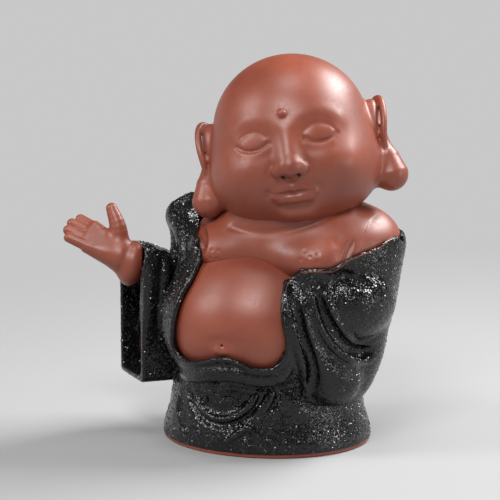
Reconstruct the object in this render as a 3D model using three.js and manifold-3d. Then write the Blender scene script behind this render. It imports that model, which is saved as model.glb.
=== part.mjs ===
// Seated-belly laughing-monk figure in two clays, hollow, standing over an incense cone.
// Millimetres, +Z up. The origin is the centre of the flat underside of the base plate,
// the figure looks along -Y, and +X is the figure's left hand side.

import * as THREE from 'three';
import { mergeVertices } from 'three/addons/utils/BufferGeometryUtils.js';
import Module from 'manifold-3d';

const wasm = await Module();
wasm.setup();

// Fits
const SEAM = 0.35;              // gap between two moulded pieces that meet
const BASE_CLEARANCE = 0.6;     // skirt wall to the plate's locating ring
const DISH_CLEARANCE = 0.5;     // ash dish to its recess, in radius
const HOLDER_CLEARANCE = 0.4;   // cone holder's foot to the ring in the dish

// Base plate
const HEM_X = 32.3;             // half width of the hem
const HEM_Y = 29.0;             // half depth of the hem
const PLATE_INSET = 0.5;        // plate edge inside the hem
const PLATE = 1.2;              // thickness of the plate's rim, seen under the hem
const RING_TOP = 3.2;           // top of the locating ring
const RECESS_DEPTH = 1.0;       // dish recess in the ring's top

// Ash dish and cone holder
const DISH_R = 18.6;
const DISH_H = 7.0;
const DISH_WALL = 1.2;
const SEAT_R = 4.6;             // flat that the cone stands on
const SEAT_H = 4.4;             // seat above the dish floor
const STEM_R = 2.4;
const FOOT_R = 6.2;

// Skirt and robe
const SKIRT_TOP = 16.0;
const WAIST_X = 29.2;
const WAIST_Y = 26.6;
const SKIRT_WALL = 4.7;
const ROBE_X = 30.0;
const ROBE_Y = 24.0;
const ROBE_Z = 38.0;            // height of the robe's widest ring
const SHOULDER_Z = 57.0;
const SHOULDER_X = 29.0;
const NECKLINE = 68.0;          // robe's top edge behind the neck

// Body
const BELLY = [26.0, 25.5, 21.5];     // half sizes
const BELLY_AT = [1.0, -9.0, 37.5];
const BODY_WALL = 4.4;
const CHEST = [25.0, 17.0, 13.0];
const CHEST_AT = [5.0, -3.0, 60.0];
const NAVEL_R = 0.9;
const NAVEL_Z = 34.0;

// Head
const HEAD_AT = [9.3, -2.0, 90.4];
const HEAD_YAW = 19;            // degrees towards the figure's left
const HEAD_PITCH = 8;           // chin up
const HEAD_ROLL = 9.5;          // crown towards the figure's right
const HEAD_W = 25.2;            // half width
const HEAD_WALL = 4.6;
const CROWN = 26.6;             // crown above the head's centre
const FLUE_R = 7.0;
const EAR_OUT = 0.6;            // ear's middle outside the head's half width
const EAR_HOLE_R = 1.1;
const BEAD_Z = 7.5;             // forehead bead above the head's centre
const BEAD_R = 1.3;
const BEAD_SUNK = 0.4;          // bead's centre outside the forehead

// Arms and folds
const ROLL_R = 3.1;             // waist roll
const LAPEL_R = 2.6;
const LEFT_LAPEL_R = 3.6;
const APRON_OUT = 1.1;          // apron's face in front of the skirt
const HAND_R = 4.2;             // at the wrist
const FINGER_R = 1.75;
const SLEEVE_R = 12.3;          // left upper arm in its sleeve
const ELBOW_R = 12.4;           // cloth bagging at the left elbow
const CHANNEL_R = 1.3;          // channel round the bag of cloth
const CUFF = [12.0, 8.5, 20.0]; // right sleeve's half sizes
const CUFF_AT = [-32.5, -3.5, 36.5];
const CUFF_DEPTH = 7.0;

const CLAY = { color: 0x8d4b36, roughness: 0.52, metalness: 0 };
const GLAZE = { color: 0x1a1a1d, roughness: 0.36, metalness: 0 };
const BRASS = { color: 0xb08a4e, roughness: 0.34, metalness: 1 };

// Forms: functions of x, y, z that are negative inside a shape
const rad = THREE.MathUtils.degToRad;

function blend(a, b, k) {
  const h = k > 0 ? Math.max(k - Math.abs(a - b), 0) / k : 0;
  return Math.min(a, b) - h * h * k * 0.25;
}

function ball(c, r, lean = 0) {
  const ca = Math.cos(rad(lean)), sa = Math.sin(rad(lean));
  return (x, y, z) => {
    const u = x - c[0], w = z - c[2];
    const q = [u * ca - w * sa, y - c[1], u * sa + w * ca];
    const k0 = Math.hypot(q[0] / r[0], q[1] / r[1], q[2] / r[2]);
    const k1 = Math.hypot(q[0] / r[0] ** 2, q[1] / r[1] ** 2, q[2] / r[2] ** 2) + 1e-9;
    return k0 * (k0 - 1) / k1;
  };
}

// a chain of round links: points of x, y, z and radius
function chain(points) {
  return (x, y, z) => {
    let best = 1e3;
    for (let i = 1; i < points.length; i += 1) {
      const a = points[i - 1], b = points[i];
      const v = [b[0] - a[0], b[1] - a[1], b[2] - a[2]];
      const w = [x - a[0], y - a[1], z - a[2]];
      const len = v[0] ** 2 + v[1] ** 2 + v[2] ** 2;
      const t = THREE.MathUtils.clamp((w[0] * v[0] + w[1] * v[1] + w[2] * v[2]) / len, 0, 1);
      const d = Math.hypot(w[0] - t * v[0], w[1] - t * v[1], w[2] - t * v[2]);
      best = Math.min(best, d - (a[3] + (b[3] - a[3]) * t));
    }
    return best;
  };
}

function smooth(points, steps = 4) {
  const way = new THREE.CatmullRomCurve3(points.map((p) => new THREE.Vector3(...p)));
  const radii = new THREE.CatmullRomCurve3(points.map((p) => new THREE.Vector3(p[3], 0, 0)));
  const count = (points.length - 1) * steps;
  return Array.from({ length: count + 1 }, (_, i) => {
    const p = way.getPoint(i / count);
    return [p.x, p.y, p.z, radii.getPoint(i / count).x];
  });
}

// a round-cornered box turned about Z
function slab(c, h, r, turn) {
  const ca = Math.cos(rad(turn)), sa = Math.sin(rad(turn));
  return (x, y, z) => {
    const u = x - c[0], v = y - c[1];
    const q = [Math.abs(u * ca + v * sa) - h[0] + r, Math.abs(v * ca - u * sa) - h[1] + r,
      Math.abs(z - c[2]) - h[2] + r];
    const out = Math.hypot(Math.max(q[0], 0), Math.max(q[1], 0), Math.max(q[2], 0));
    return out + Math.min(Math.max(...q), 0) - r;
  };
}

// oval rings on top of one another: [z, half width, half depth, x, y]
function stack(rings) {
  const last = rings.length - 1;
  return (x, y, z) => {
    const zc = THREE.MathUtils.clamp(z, rings[0][0], rings[last][0]);
    let i = 1;
    while (i < last && zc > rings[i][0]) i += 1;
    const a = rings[i - 1], b = rings[i];
    const t = (zc - a[0]) / (b[0] - a[0]);
    const m = a.map((value, k) => value + (b[k] - value) * t);
    const d = (Math.hypot((x - m[3]) / m[1], (y - m[4]) / m[2]) - 1) * Math.min(m[1], m[2]);
    const dz = Math.max(rings[0][0] - z, z - rings[last][0]);
    return d > 0 && dz > 0 ? Math.hypot(d, dz) : Math.max(d, dz);
  };
}

// everything beyond a plane, on the side that its normal points to
function beyond(point, normal) {
  const n = new THREE.Vector3(...normal).normalize();
  return (x, y, z) => (point[0] - x) * n.x + (point[1] - y) * n.y + (point[2] - z) * n.z;
}

// rows of ['add' or 'cut', softness, form]
function mould(rows) {
  return (x, y, z) => {
    let d = 1e3;
    for (const [what, k, form] of rows) {
      const v = form(x, y, z);
      d = what === 'add' ? blend(d, v, k) : -blend(-d, v, k);
    }
    return d;
  };
}

// Solids
function solid(geometry) {
  geometry.deleteAttribute('normal');
  geometry.deleteAttribute('uv');
  const merged = mergeVertices(geometry, 1e-4);
  return new wasm.Manifold(new wasm.Mesh({
    numProp: 3,
    vertProperties: Float32Array.from(merged.attributes.position.array),
    triVerts: Uint32Array.from(merged.index.array),
  }));
}

// a sphere's skin drawn in from outside until it meets the form
function wrap(form, centre, across, along, { grow = 0, stretch = [1, 1, 1], reach = 70, place } = {}) {
  const g = new THREE.SphereGeometry(1, across, along);
  g.rotateX(Math.PI / 2);
  const at = g.attributes.position;
  const dir = new THREE.Vector3();
  for (let i = 0; i < at.count; i += 1) {
    dir.set(at.getX(i) * stretch[0], at.getY(i) * stretch[1], at.getZ(i) * stretch[2]).normalize();
    const value = (t) => form(centre[0] + dir.x * t, centre[1] + dir.y * t, centre[2] + dir.z * t) - grow;
    let t = reach, before = reach, d = value(t);
    while (d > 0 && t > 0.05) {
      before = t;
      t = Math.max(t - Math.max(d * 0.7, 0.06), 0.05);
      d = value(t);
    }
    for (let k = 0; k < 22 && before > t; k += 1) {
      const mid = (t + before) / 2;
      if (value(mid) > 0) before = mid; else t = mid;
    }
    at.setXYZ(i, centre[0] + dir.x * t, centre[1] + dir.y * t, centre[2] + dir.z * t);
  }
  if (place) g.applyMatrix4(place);
  return solid(g);
}

// a roll of clay along a path, oval in section
function roll(points, wide, high, steps, sides = 10) {
  const way = new THREE.CatmullRomCurve3(points.map((p) => new THREE.Vector3(...p)));
  const outline = new THREE.Shape();
  for (let i = 0; i < sides; i += 1) {
    const a = (i / sides) * 2 * Math.PI;
    if (i === 0) outline.moveTo(wide, 0);
    else outline.lineTo(wide * Math.cos(a), high * Math.sin(a));
  }
  return solid(new THREE.ExtrudeGeometry(outline, { steps, bevelEnabled: false, extrudePath: way }));
}

function rod(r, from, to, sides = 10) {
  const a = new THREE.Vector3(...from), b = new THREE.Vector3(...to);
  const g = new THREE.CylinderGeometry(r, r, a.distanceTo(b), sides);
  g.applyQuaternion(new THREE.Quaternion().setFromUnitVectors(
    new THREE.Vector3(0, 1, 0), b.clone().sub(a).normalize()));
  g.translate((a.x + b.x) / 2, (a.y + b.y) / 2, (a.z + b.z) / 2);
  return g;
}

function block(x0, x1, y0, y1, z0, z1) {
  const g = new THREE.BoxGeometry(x1 - x0, y1 - y0, z1 - z0);
  g.translate((x0 + x1) / 2, (y0 + y1) / 2, (z0 + z1) / 2);
  return solid(g);
}

function turned(profile, sides, flat = 1) {
  const g = new THREE.LatheGeometry(profile.map(([r, z]) => new THREE.Vector2(r, z)), sides);
  g.rotateX(Math.PI / 2);
  g.scale(1, flat, 1);
  return solid(g);
}

const less = (body, ...cutters) => cutters.reduce((left, cutter) => left.subtract(cutter), body);

// the largest of the bodies that a cut leaves
function main(body) {
  const parts = body.decompose();
  return parts.reduce((best, part) => (part.volume() > best.volume() ? part : best));
}

// Head frame
const face = new THREE.Vector3(
  Math.sin(rad(HEAD_YAW)) * Math.cos(rad(HEAD_PITCH)),
  -Math.cos(rad(HEAD_YAW)) * Math.cos(rad(HEAD_PITCH)),
  Math.sin(rad(HEAD_PITCH)));
const side = new THREE.Vector3(Math.cos(rad(HEAD_YAW)), Math.sin(rad(HEAD_YAW)), 0);
const rise = new THREE.Vector3().crossVectors(face, side);
const across = side.clone().multiplyScalar(Math.cos(rad(HEAD_ROLL)))
  .add(rise.clone().multiplyScalar(Math.sin(rad(HEAD_ROLL))));
const upward = rise.clone().multiplyScalar(Math.cos(rad(HEAD_ROLL)))
  .sub(side.clone().multiplyScalar(Math.sin(rad(HEAD_ROLL))));
const headPlace = new THREE.Matrix4().makeBasis(across, face.clone().negate(), upward)
  .setPosition(...HEAD_AT);
const headPoint = (x, y, z) => new THREE.Vector3(x, y, z).applyMatrix4(headPlace).toArray();

const FACE_Y = 2.7 - HEAD_W;    // front of the face between the eyes
const headForm = mould([
  ['add', 0, ball([0, 1, CROWN - 22.6], [HEAD_W - 2, HEAD_W - 0.7, 22.6])],
  ['add', 8, ball([0, -2, -8.5], [HEAD_W, HEAD_W - 3.7, 17])],
  ['add', 3, chain([[0, FACE_Y, 0, 1.6], [0, FACE_Y - 2.7, -7.8, 2.8]])],
  ['add', 2, ball([-3, FACE_Y - 0.5, -8.2], [2.2, 2.4, 2])],
  ['add', 2, ball([3, FACE_Y - 0.5, -8.2], [2.2, 2.4, 2])],
  ['add', 2, chain([[-4, FACE_Y + 0.5, -15, 1.2], [0, FACE_Y - 0.7, -14.2, 1.5], [4, FACE_Y + 0.5, -15, 1.2]])],
  ['add', 5, ball([0, FACE_Y + 4, -20.5], [7, 5, 4.5])],
]);
const headSolid = wrap(headForm, [0, 0, 0], 34, 22, { place: headPlace });
const headGrown = wrap(headForm, [0, 0, 0], 34, 22, { grow: SEAM, place: headPlace });
const headHollow = wrap(ball([0, 0.5, 0], [HEAD_W - HEAD_WALL - 0.8, HEAD_W - HEAD_WALL - 1, CROWN - HEAD_WALL - 1]),
  [0, 0.5, 0], 18, 12, { place: headPlace });

const EAR_X = HEAD_W + EAR_OUT;
const earForm = mould([
  ['add', 0, ball([-EAR_X, 3, 1.5], [3.4, 5.4, 8])],
  ['add', 3, chain([[-EAR_X - 0.2, 2.5, -4, 2.8], [-EAR_X - 2.5, 1, -11, 3.6], [-EAR_X - 3.2, 0.5, -15.2, 4.4]])],
]);
const mirrored = (form) => (x, y, z) => form(-x, y, z);
const ear = (form, sign) => wrap(form, [sign * (EAR_X + 0.9), 2.2, -5], 12, 12,
  { stretch: [1, 1, 1.6], reach: 30, place: headPlace });
const rightEar = ear(earForm, -1), leftEar = ear(mirrored(earForm), 1);
const rightEarGrown = ear((x, y, z) => earForm(x, y, z) - SEAM, -1);
const leftEarGrown = ear((x, y, z) => earForm(-x, y, z) - SEAM, 1);
const earHole = (sign) => solid(rod(EAR_HOLE_R, headPoint(sign * (EAR_X + 5), 3, 3), headPoint(sign * 15, 3, 3)));
const rightEarHole = earHole(-1), leftEarHole = earHole(1);

// Body forms
const chestForm = mould([
  ['add', 0, ball(CHEST_AT, CHEST)],
  ['add', 5, ball([-8, -13, 58.5], [10, 9, 6.5])],
  ['add', 5, ball([20, -12, 59.5], [11, 10, 7])],
  ['add', 6, ball([28, 4, 63.5], [11.5, 12, 11])],
  ['add', 6, ball([-14, 2, 62], [12, 12, 11])],
  ['add', 4, ball([8.5, -2, 70], [19, 17, 6])],
]);
const bellyForm = mould([
  ['add', 0, ball(BELLY_AT, BELLY)],
  ['add', 5, ball([BELLY_AT[0] + 1, -6, 48], [22, 20, 12])],
]);
const robeForm = mould([
  ['add', 0, ball([0, 1, ROBE_Z], [ROBE_X, ROBE_Y, 26])],
  ['add', 8, ball([3, 5, SHOULDER_Z - 1], [SHOULDER_X, 20, 19])],
  ['add', 4, stack([[8, WAIST_X, WAIST_Y, 0, 0], [SKIRT_TOP, WAIST_X, WAIST_Y, 0, 0], [34, 29, 24, 0, 0]])],
  ['add', 5, ball([20, -6, 38], [12, 16, 20])],
  ['cut', 1.5, beyond([0, 10, NECKLINE], [0.09, 0, 1])],
]);
const skirtForm = stack([
  [PLATE, HEM_X, HEM_Y, 0, 0], [4, HEM_X - 0.3, HEM_Y - 0.2, 0, 0],
  [10, WAIST_X + 0.8, WAIST_Y + 0.8, 0, 0], [SKIRT_TOP, WAIST_X, WAIST_Y, 0, 0],
]);

const chestSolid = wrap(chestForm, [6, 0, 61], 30, 18);
const chestGrown = wrap(chestForm, [6, 0, 61], 30, 18, { grow: SEAM });
const bellySolid = wrap(bellyForm, [1, -8, 40], 28, 18);
const bellyGrown = wrap(bellyForm, [1, -8, 40], 28, 18, { grow: SEAM });
const robeSolid = wrap(robeForm, [2, 0, 42], 30, 18);
const robeGrown = wrap(robeForm, [2, 0, 42], 30, 18, { grow: SEAM });

// The hollow: oval rings from the skirt's mouth to the neck
const mouthX = HEM_X - SKIRT_WALL - 0.6, mouthY = HEM_Y - SKIRT_WALL - 0.6;
const mouth = turned([[0, -2], [mouthX, -2], [mouthX, RING_TOP + 1], [WAIST_X - SKIRT_WALL, 14],
  [WAIST_X - SKIRT_WALL - 1, 18], [0, 18]], 36, mouthY / mouthX);
const chamber = wrap(stack([
  [6, 24, 21, 0, 0],
  [14, WAIST_X - SKIRT_WALL - 0.5, WAIST_Y - SKIRT_WALL - 0.5, 0, 0],
  [24, 24, 22.5, 0, -3],
  [38, ROBE_X - BODY_WALL - 1.2, 25.6, 0, -4.5],
  [50, 20, 19.5, 1, -3],
  [58, 13.5, 11, 3, -2],
  [66, 8, 8, 6, -2],
  [70, FLUE_R, FLUE_R, 7.4, -2],
]), [1, -2, 34], 24, 18, { stretch: [1, 1, 1.15], reach: 50 });
const flue = turned([[0, -6], [FLUE_R, -6], [FLUE_R, 12], [0, 12]], 20).translate(7.8, -2, 68);
const hollow = chamber.add(flue).add(mouth);

// Skirt
const skirtOuter = turned([[0, PLATE], [HEM_X, PLATE], [HEM_X - 0.3, 4], [WAIST_X + 0.8, 10],
  [WAIST_X, SKIRT_TOP], [0, SKIRT_TOP]], 44, HEM_Y / HEM_X);

// Front apron: a lap of the robe over the skirt, cut to a U
const apronArea = wrap(ball([-3, -27, 16.5], [13, 9, 12.5]), [-3, -27, 14], 22, 14, { reach: 30 });
const apronAreaGrown = wrap(ball([-3, -27, 16.5], [13, 9, 12.5]), [-3, -27, 14], 22, 14, { grow: SEAM, reach: 30 });
const lapped = (out) => turned([[0, PLATE + 0.8], [HEM_X + out, PLATE + 0.8], [HEM_X - 0.3 + out, 4],
  [WAIST_X + 0.8 + out, 10], [WAIST_X + out, SKIRT_TOP + 0.6], [0, SKIRT_TOP + 0.6]], 44, HEM_Y / HEM_X);
const apronOuter = lapped(APRON_OUT);
const apronBed = lapped(-1.2);
const apronBedLower = lapped(-1.2 - SEAM);

const nodes = [];
function node(name, body, look) {
  const mesh = body.getMesh();
  const g = new THREE.BufferGeometry();
  g.setAttribute('position', new THREE.BufferAttribute(Float32Array.from(mesh.vertProperties), 3));
  g.setIndex(new THREE.BufferAttribute(Uint32Array.from(mesh.triVerts), 1));
  g.computeVertexNormals();
  const piece = new THREE.Mesh(g, new THREE.MeshStandardMaterial(look));
  piece.name = name;
  nodes.push(piece);
}

// Base plate, dish and holder
const ringX = mouthX - BASE_CLEARANCE;
const ringY = mouthY - BASE_CLEARANCE;
const recessFloor = RING_TOP - RECESS_DEPTH;
const plate = turned([[0, 0], [HEM_X - PLATE_INSET, 0], [HEM_X - PLATE_INSET, PLATE], [0, PLATE]], 44,
  (HEM_Y - PLATE_INSET) / (HEM_X - PLATE_INSET));
const ring = turned([[0, PLATE / 2], [ringX, PLATE / 2], [ringX, RING_TOP - 0.6], [ringX - 0.6, RING_TOP],
  [0, RING_TOP]], 36, ringY / ringX);
const recess = turned([[0, recessFloor], [DISH_R + DISH_CLEARANCE, recessFloor],
  [DISH_R + DISH_CLEARANCE, RING_TOP + 1], [0, RING_TOP + 1]], 40);
node('base_plate', plate.add(ring).subtract(recess), CLAY);

const floorZ = recessFloor + DISH_WALL;
node('ash_dish', turned([
  [0, recessFloor], [DISH_R - 2, recessFloor], [DISH_R - 0.6, recessFloor + 1.4],
  [DISH_R, recessFloor + DISH_H], [DISH_R - DISH_WALL, recessFloor + DISH_H],
  [DISH_R - 0.6 - DISH_WALL, floorZ + 1], [DISH_R - 1.2 - DISH_WALL, floorZ],
  [FOOT_R + HOLDER_CLEARANCE + 0.8, floorZ], [FOOT_R + HOLDER_CLEARANCE + 0.8, floorZ + 0.6],
  [FOOT_R + HOLDER_CLEARANCE, floorZ + 0.6], [FOOT_R + HOLDER_CLEARANCE, floorZ], [0, floorZ],
], 40), BRASS);

node('cone_holder', turned([
  [0, floorZ], [FOOT_R, floorZ], [FOOT_R, floorZ + 0.7], [STEM_R + 0.5, floorZ + 1.2],
  [STEM_R, floorZ + SEAT_H - 1.6], [SEAT_R, floorZ + SEAT_H - 0.9], [SEAT_R, floorZ + SEAT_H],
  [0, floorZ + SEAT_H],
], 24), BRASS);

// Right hand: wrist and palm, then the fingers
const W = [-41.5, -13.5, 54.5];
const palmForm = mould([
  ['add', 0, chain([[...W, HAND_R], [-51.3, -14.2, 62.4, 2.2]])],
  ['add', 1, chain([[...W, HAND_R], [-52.2, -15.8, 61, 2.2]])],
  ['add', 1, chain([[...W, HAND_R], [-52.2, -17.6, 59.4, 2.1]])],
  ['add', 1, chain([[-42.5, -15, 54, HAND_R], [-51.3, -19, 57.4, 2.1]])],
  ['add', 2, chain([[...W, HAND_R + 0.4], [-38.5, -12.5, 50.5, HAND_R + 2], [-35, -10.5, 49.3, HAND_R + 2.3]])],
]);
const digit = (a, ra, b, rb, sides = 8) => wrap(chain([[...a, ra], [...b, rb]]),
  a.map((v, i) => (v + b[i]) / 2), sides, 8, { reach: 16 });
const fingers = [
  digit([-50, -14.2, 61.6], FINGER_R + 0.3, [-56.6, -13.6, 64.6], FINGER_R - 0.1),
  digit([-51, -15.8, 60.4], FINGER_R + 0.3, [-58.2, -16.2, 63.6], FINGER_R - 0.1),
  digit([-51, -17.6, 58.8], FINGER_R + 0.2, [-58.2, -18.7, 61.9], FINGER_R - 0.15),
  digit([-50, -19, 57.2], FINGER_R + 0.1, [-56.8, -20.7, 60], FINGER_R - 0.3),
  digit([-43.2, -13.5, 56.5], 3.4, [-43.6, -13.5, 63], 2.6, 10),
  digit([-43.6, -13.5, 63], 2.5, [-46, -13, 68.6], FINGER_R, 10),
];
const palm = (grow) => wrap(palmForm, [-42.5, -13.5, 55], 20, 16, { grow, reach: 30 });
const handSolid = fingers.reduce((sum, finger) => sum.add(finger), palm(0));
const handGrown = palm(SEAM);

// Rolls and lapels
const waistWay = [[-22, -17, 29], [-19.5, -23.8, 25.5], [-13.5, -28.8, 23.8], [-4, -32.4, 24], [4, -32.6, 24.2],
  [11, -29.6, 23.4], [17, -25.4, 22.4], [21, -20, 22.6]];
const lapelWay = [[-31, -1, 69], [-27, -5, 66.5], [-22, -9, 62.5], [-18, -13, 58], [-17, -19, 53],
  [-20, -23, 47], [-23.5, -24, 40], [-25, -23, 33], [-24.5, -18, 27]];
const leftLapelWay = [[19, -14, 56], [19, -20.5, 51.5], [19.5, -24.5, 47], [21, -25.5, 41], [22, -24.5, 34],
  [22, -21, 26], [22.5, -16.5, 18.5]];
const waist = roll(waistWay, ROLL_R, ROLL_R, 22, 9);
const waistGrown = roll(waistWay, ROLL_R + SEAM, ROLL_R + SEAM, 22, 9);
const lapel = roll(lapelWay, LAPEL_R, LAPEL_R, 22, 9);
const lapelGrown = roll(lapelWay, LAPEL_R + SEAM, LAPEL_R + SEAM, 22, 9);
const leftLapel = roll(leftLapelWay, LEFT_LAPEL_R, LEFT_LAPEL_R, 16, 9);
const leftLapelGrown = roll(leftLapelWay, LEFT_LAPEL_R + SEAM, LEFT_LAPEL_R + SEAM, 16, 9);

const collarForm = mould([
  ['add', 0, chain([[-9, 14, 64, 4.5], [-20, 11, 67, 4.5], [-28, 5.5, 68, 4.2], [-31, -0.5, 67.5, 3.2]])],
  ['add', 4, chain([[-27, 4, 64, 5], [-23, 2, 52, 7.5]])],
]);
const collarSolid = wrap(collarForm, [-24, 4, 61], 18, 14, { reach: 30 });
const collarGrown = wrap(collarForm, [-24, 4, 61], 18, 14, { grow: SEAM, reach: 30 });

const rightSleeveForm = mould([
  ['add', 0, slab(CUFF_AT, CUFF, 6, 45)],
  ['add', 4, chain([[-30, -4, 50, 7], [-20, 2, 58, 9]])],
]);
const rightSleeveSolid = wrap(rightSleeveForm, [-31, -4, 38], 20, 16, { stretch: [1, 1, 1.3], reach: 40 });
const cuffHollow = wrap(slab([-42, -13, 31.5], [CUFF_DEPTH, 6.5, 13], 4, 45), [-42, -13, 31.5], 14, 10,
  { stretch: [1, 1, 1.5], reach: 20 });

// left sleeve: upper arm, hanging cloth, front folds and the bag of cloth at the elbow with its channel and lip
const elbowWay = [[26.8, -23.6, 49], [27.8, -23.9, 45.7], [29.5, -23.2, 42.2], [31.1, -21.9, 38.8],
  [32.9, -19.5, 34.9], [34.6, -15.6, 32]];
const leftSleeveForm = mould([
  ['add', 0, chain([[28, 5, 58, SLEEVE_R], [28.2, 3, 48, SLEEVE_R - 0.1]])],
  ['add', 5, chain([[27, 0, 38, SLEEVE_R - 0.3], [26.5, 0, 30, SLEEVE_R - 1.3], [25.5, 0, 23.5, SLEEVE_R - 2.7]])],
  ['add', 3, chain(smooth([[22.5, -16, 52, 6], [24.5, -17, 44, 7.5], [26.5, -14.5, 34, 7.6],
    [26.5, -11.5, 22.5, 8.4]], 3))],
  ['add', 0.8, ball([30, -4.5, 48], [ELBOW_R, 15, 14.2])],
  ['cut', 1.2, chain(elbowWay.map((p) => [...p, CHANNEL_R]))],
  ['cut', 1.5, chain([[32.5, -17, 58, 3], [36, -16.2, 57, 3], [40.5, -14.2, 54, 3]])],
  ['cut', 1, beyond([22, -18, 58], [-0.2, -0.14, 1])],
]);
const leftSleeveSolid = wrap(leftSleeveForm, [25.5, -3, 40], 38, 28, { stretch: [1, 1, 1.5], reach: 50 });
const leftSleeveGrown = wrap(leftSleeveForm, [25.5, -3, 40], 38, 28, { grow: SEAM, stretch: [1, 1, 1.5], reach: 50 });

// The pieces
const underSkirt = block(-60, 60, -60, 60, -10, SKIRT_TOP + SEAM);
node('skirt', main(less(skirtOuter, bellyGrown, hollow, apronAreaGrown.subtract(apronBedLower))), GLAZE);
node('front_apron', main(less(apronArea.intersect(apronOuter), apronBed, bellyGrown, waistGrown)), GLAZE);
const robeShell = less(robeSolid, bellyGrown, chestGrown, headGrown, hollow, underSkirt, apronAreaGrown);
node('robe_back', main(robeShell), GLAZE);
node('belly', main(less(bellySolid, chestGrown, hollow,
  solid(rod(NAVEL_R, [BELLY_AT[0], -45, NAVEL_Z], [BELLY_AT[0], -20, NAVEL_Z])))), CLAY);
node('chest', main(less(chestSolid, headGrown, rightEarGrown, leftEarGrown, hollow)), CLAY);
node('head', main(less(headSolid, headHollow, flue, rightEarHole, leftEarHole)), CLAY);
node('right_ear', main(less(rightEar, headGrown, rightEarHole)), CLAY);
node('left_ear', main(less(leftEar, headGrown, leftEarHole)), CLAY);
const bead = new THREE.SphereGeometry(BEAD_R, 10, 8);
let brow = -2 * HEAD_W;         // walks back until it meets the forehead
while (headForm(0, brow, BEAD_Z) > 0) brow += 0.05;
bead.translate(...headPoint(0, brow - BEAD_SUNK, BEAD_Z));
node('forehead_bead', main(less(solid(bead), headGrown)), CLAY);
node('waist_roll', main(less(waist, bellyGrown, robeGrown, skirtOuter)), GLAZE);
node('right_lapel', main(less(lapel, bellyGrown, chestGrown, robeGrown, waistGrown)), GLAZE);
node('left_lapel', main(less(leftLapel, bellyGrown, chestGrown, robeGrown, waistGrown, skirtOuter)), GLAZE);
node('right_collar', main(less(collarSolid, chestGrown, robeGrown, lapelGrown, headGrown,
  rightEarGrown, handGrown)), GLAZE);
node('right_hand', handSolid, CLAY);
node('right_sleeve', main(less(rightSleeveSolid, cuffHollow, handGrown, robeGrown, lapelGrown, collarGrown,
  chestGrown, bellyGrown, skirtOuter)), GLAZE);
node('left_sleeve', main(less(leftSleeveSolid, robeGrown, chestGrown, bellyGrown, leftLapelGrown,
  waistGrown, skirtOuter)), GLAZE);

const figure = new THREE.Group();
nodes.forEach((piece) => figure.add(piece));
export default figure;
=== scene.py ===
"""Visual model of the two-clay laughing-monk incense burner.

A clay form is a list of rows, worked as one blended field in millimetres that is
negative inside, and skinned once. A row adds or cuts a shape with a softness,
raises or presses a line by a height over a width, sets a bead of a radius on a
point, or lays a roll or groove along a line, with a softness, a radius and how
far it stands out or goes in.
The figure looks along -Y, and +X is its left hand side.
"""

import math

import bpy
import numpy as np
from mathutils import Matrix, Vector


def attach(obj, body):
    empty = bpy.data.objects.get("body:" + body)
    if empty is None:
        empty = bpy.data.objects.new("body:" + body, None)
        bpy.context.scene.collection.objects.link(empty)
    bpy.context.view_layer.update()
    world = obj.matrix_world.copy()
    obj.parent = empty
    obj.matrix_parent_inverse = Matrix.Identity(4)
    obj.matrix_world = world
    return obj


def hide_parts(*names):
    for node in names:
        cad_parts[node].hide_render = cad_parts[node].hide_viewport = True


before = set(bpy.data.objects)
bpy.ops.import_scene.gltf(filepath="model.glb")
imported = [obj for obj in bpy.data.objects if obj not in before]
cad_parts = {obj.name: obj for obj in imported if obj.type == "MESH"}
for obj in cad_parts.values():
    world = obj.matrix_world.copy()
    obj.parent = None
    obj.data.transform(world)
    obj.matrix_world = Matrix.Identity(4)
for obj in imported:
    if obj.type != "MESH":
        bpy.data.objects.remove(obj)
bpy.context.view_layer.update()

MM = 0.001
STEP = 0.46          # grid of the skinned pieces, mm
FAR = 60.0                                   # distance where no shape counts, mm


def cos_sin(degrees):
    return math.cos(math.radians(degrees)), math.sin(math.radians(degrees))


# camera, in degrees, metres and millimetres of lens
AZIMUTH, ELEVATION, DISTANCE = 25.0, 10.0, 0.70
AIM = Vector((-0.0088, 0.0067, 0.0554))
LENS, SENSOR = 164.8, 36.0


def towards(azimuth, elevation):
    """Direction from the object to a viewer or lamp."""
    ca, sa = cos_sin(azimuth)
    ce, se = cos_sin(elevation)
    return Vector((sa * ce, -ca * ce, se))


def set_camera():
    back = towards(AZIMUTH, ELEVATION)
    lens = bpy.data.cameras.new("photo view")
    lens.lens, lens.sensor_width = LENS, SENSOR
    lens.clip_start, lens.clip_end = 0.05, 20.0
    camera = bpy.data.objects.new("photo view", lens)
    camera.location = AIM + back * DISTANCE
    camera.rotation_euler = back.to_track_quat("Z", "Y").to_euler()
    bpy.context.collection.objects.link(camera)
    bpy.context.scene.camera = camera


set_camera()
BACK = np.array(towards(AZIMUTH, ELEVATION))     # the view's three directions
ACROSS = np.array([*cos_sin(AZIMUTH), 0.0])
UPWARD = np.cross(BACK, ACROSS)
REACH = DISTANCE / MM                            # from the eye to what it looks at, mm
EYE = np.array(AIM) / MM + BACK * REACH
BEFORE, BEHIND = 640.0, 750.0                    # the object lies between, mm from the eye


# forms
class Shape:
    """A distance and the box outside which it doesn't matter."""

    def __init__(self, distance, low, high):
        self.distance = distance
        self.low, self.high = np.array(low, float), np.array(high, float)


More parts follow.
